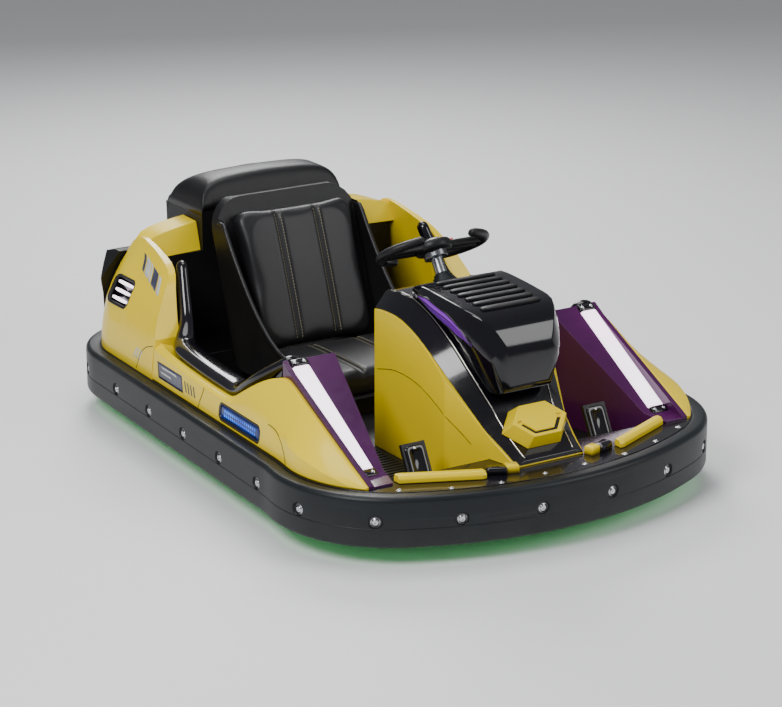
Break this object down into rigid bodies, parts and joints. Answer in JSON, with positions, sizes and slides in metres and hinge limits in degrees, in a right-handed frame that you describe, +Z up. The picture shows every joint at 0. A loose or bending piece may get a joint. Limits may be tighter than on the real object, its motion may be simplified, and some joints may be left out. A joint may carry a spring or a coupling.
{
  "type": "bumper car",
  "caption": "Battery bumper car with a rubber ring bumper, a steered drive wheel, swivel casters, a bucket seat and lit side pods.",
  "frame": {"origin": "on the floor under the middle of the bumper's outline", "axes": "+X forward, +Y to the driver's left, +Z up"},
  "size_m": [1.74, 1.2298, 0.6573],
  "materials": {
    "bumper_rubber": "matt moulded rubber",
    "tyre_rubber": "matt tyre rubber",
    "caster_rubber": "satin wheel rubber",
    "yellow_body": "glossy moulded body plastic",
    "black_gloss": "glossy black plastic",
    "black_plastic": "grained black plastic",
    "seat_vinyl": "black seat vinyl",
    "purple_channel": "dark purple channel",
    "white_light": "milky light cover",
    "green_light": "green light cover",
    "red_light": "red light cover",
    "black_frame": "black powder coat",
    "grey_steel": "plain steel",
    "zinc_steel": "zinc plated steel",
    "cast_aluminium": "cast aluminium",
    "battery_case": "battery case"
  },
  "bodies": {
    "chassis": {"chassis_frame": "black_frame", "floor_pan": "black_frame", "bumper_rail": "black_frame", "bumper_ring": "bumper_rubber", "deck_plate": "black_gloss", "underglow_strip": "green_light", "side_pod_right": "yellow_body", "side_pod_left": "yellow_body", "cockpit_trim_right": "black_gloss", "cockpit_trim_left": "black_gloss", "light_channel_right": "purple_channel", "light_channel_left": "purple_channel", "light_bar_right": "white_light", "light_bar_left": "white_light", "console_shell": "yellow_body", "console_band": "black_gloss", "front_housing": "black_gloss", "nose_cap": "yellow_body", "front_lip_right": "yellow_body", "front_lip_left": "yellow_body", "pedal_accelerator": "black_plastic", "pedal_brake": "black_plastic", "column_tube": "black_frame", "seat_shell": "black_plastic", "seat_cushion": "seat_vinyl", "back_cushion": "seat_vinyl", "battery_block": "battery_case", "rear_fender_right": "yellow_body", "rear_fender_left": "yellow_body", "tail_lamp_right": "red_light", "tail_lamp_left": "red_light", "rear_cowl": "black_plastic", "rear_panel": "yellow_body"},
    "steering": {"steering_column": "grey_steel", "steering_yoke": "black_plastic"},
    "drive_steer": {"drive_fork": "zinc_steel"},
    "drive_wheel": {"drive_hub": "cast_aluminium", "drive_tyre": "tyre_rubber"},
    "caster_right": {"caster_fork_right": "zinc_steel"},
    "caster_wheel_right": {"caster_hub_right": "cast_aluminium", "caster_tyre_right": "caster_rubber"},
    "caster_left": {"caster_fork_left": "zinc_steel"},
    "caster_wheel_left": {"caster_hub_left": "cast_aluminium", "caster_tyre_left": "caster_rubber"}
  },
  "joints": [
    {"name": "drive_steer", "type": "hinge", "parent": "chassis", "child": "drive_steer", "pos_m": [0.43, 0, 0.3], "axis": [0, 0, 1], "range_deg": [-80, 80]},
    {"name": "drive_spin", "type": "hinge", "parent": "drive_steer", "child": "drive_wheel", "pos_m": [0.43, 0, 0.125], "axis": [0, 1, 0], "continuous": true},
    {"name": "steering_turn", "type": "hinge", "parent": "chassis", "child": "steering", "pos_m": [0.22, 0, 0.598], "axis": [-0.5592, 0, 0.829], "range_deg": [-80, 80]},
    {"name": "caster_right_swivel", "type": "hinge", "parent": "chassis", "child": "caster_right", "pos_m": [-0.56, -0.33, 0.12], "axis": [0, 0, 1], "continuous": true},
    {"name": "caster_right_spin", "type": "hinge", "parent": "caster_right", "child": "caster_wheel_right", "pos_m": [-0.598, -0.33, 0.05], "axis": [0, 1, 0], "continuous": true},
    {"name": "caster_left_swivel", "type": "hinge", "parent": "chassis", "child": "caster_left", "pos_m": [-0.56, 0.33, 0.12], "axis": [0, 0, 1], "continuous": true},
    {"name": "caster_left_spin", "type": "hinge", "parent": "caster_left", "child": "caster_wheel_left", "pos_m": [-0.598, 0.33, 0.05], "axis": [0, 1, 0], "continuous": true}
  ],
  "couplings": [
    {"joint": "steering_turn", "follows": "drive_steer", "ratio": 1}
  ]
}
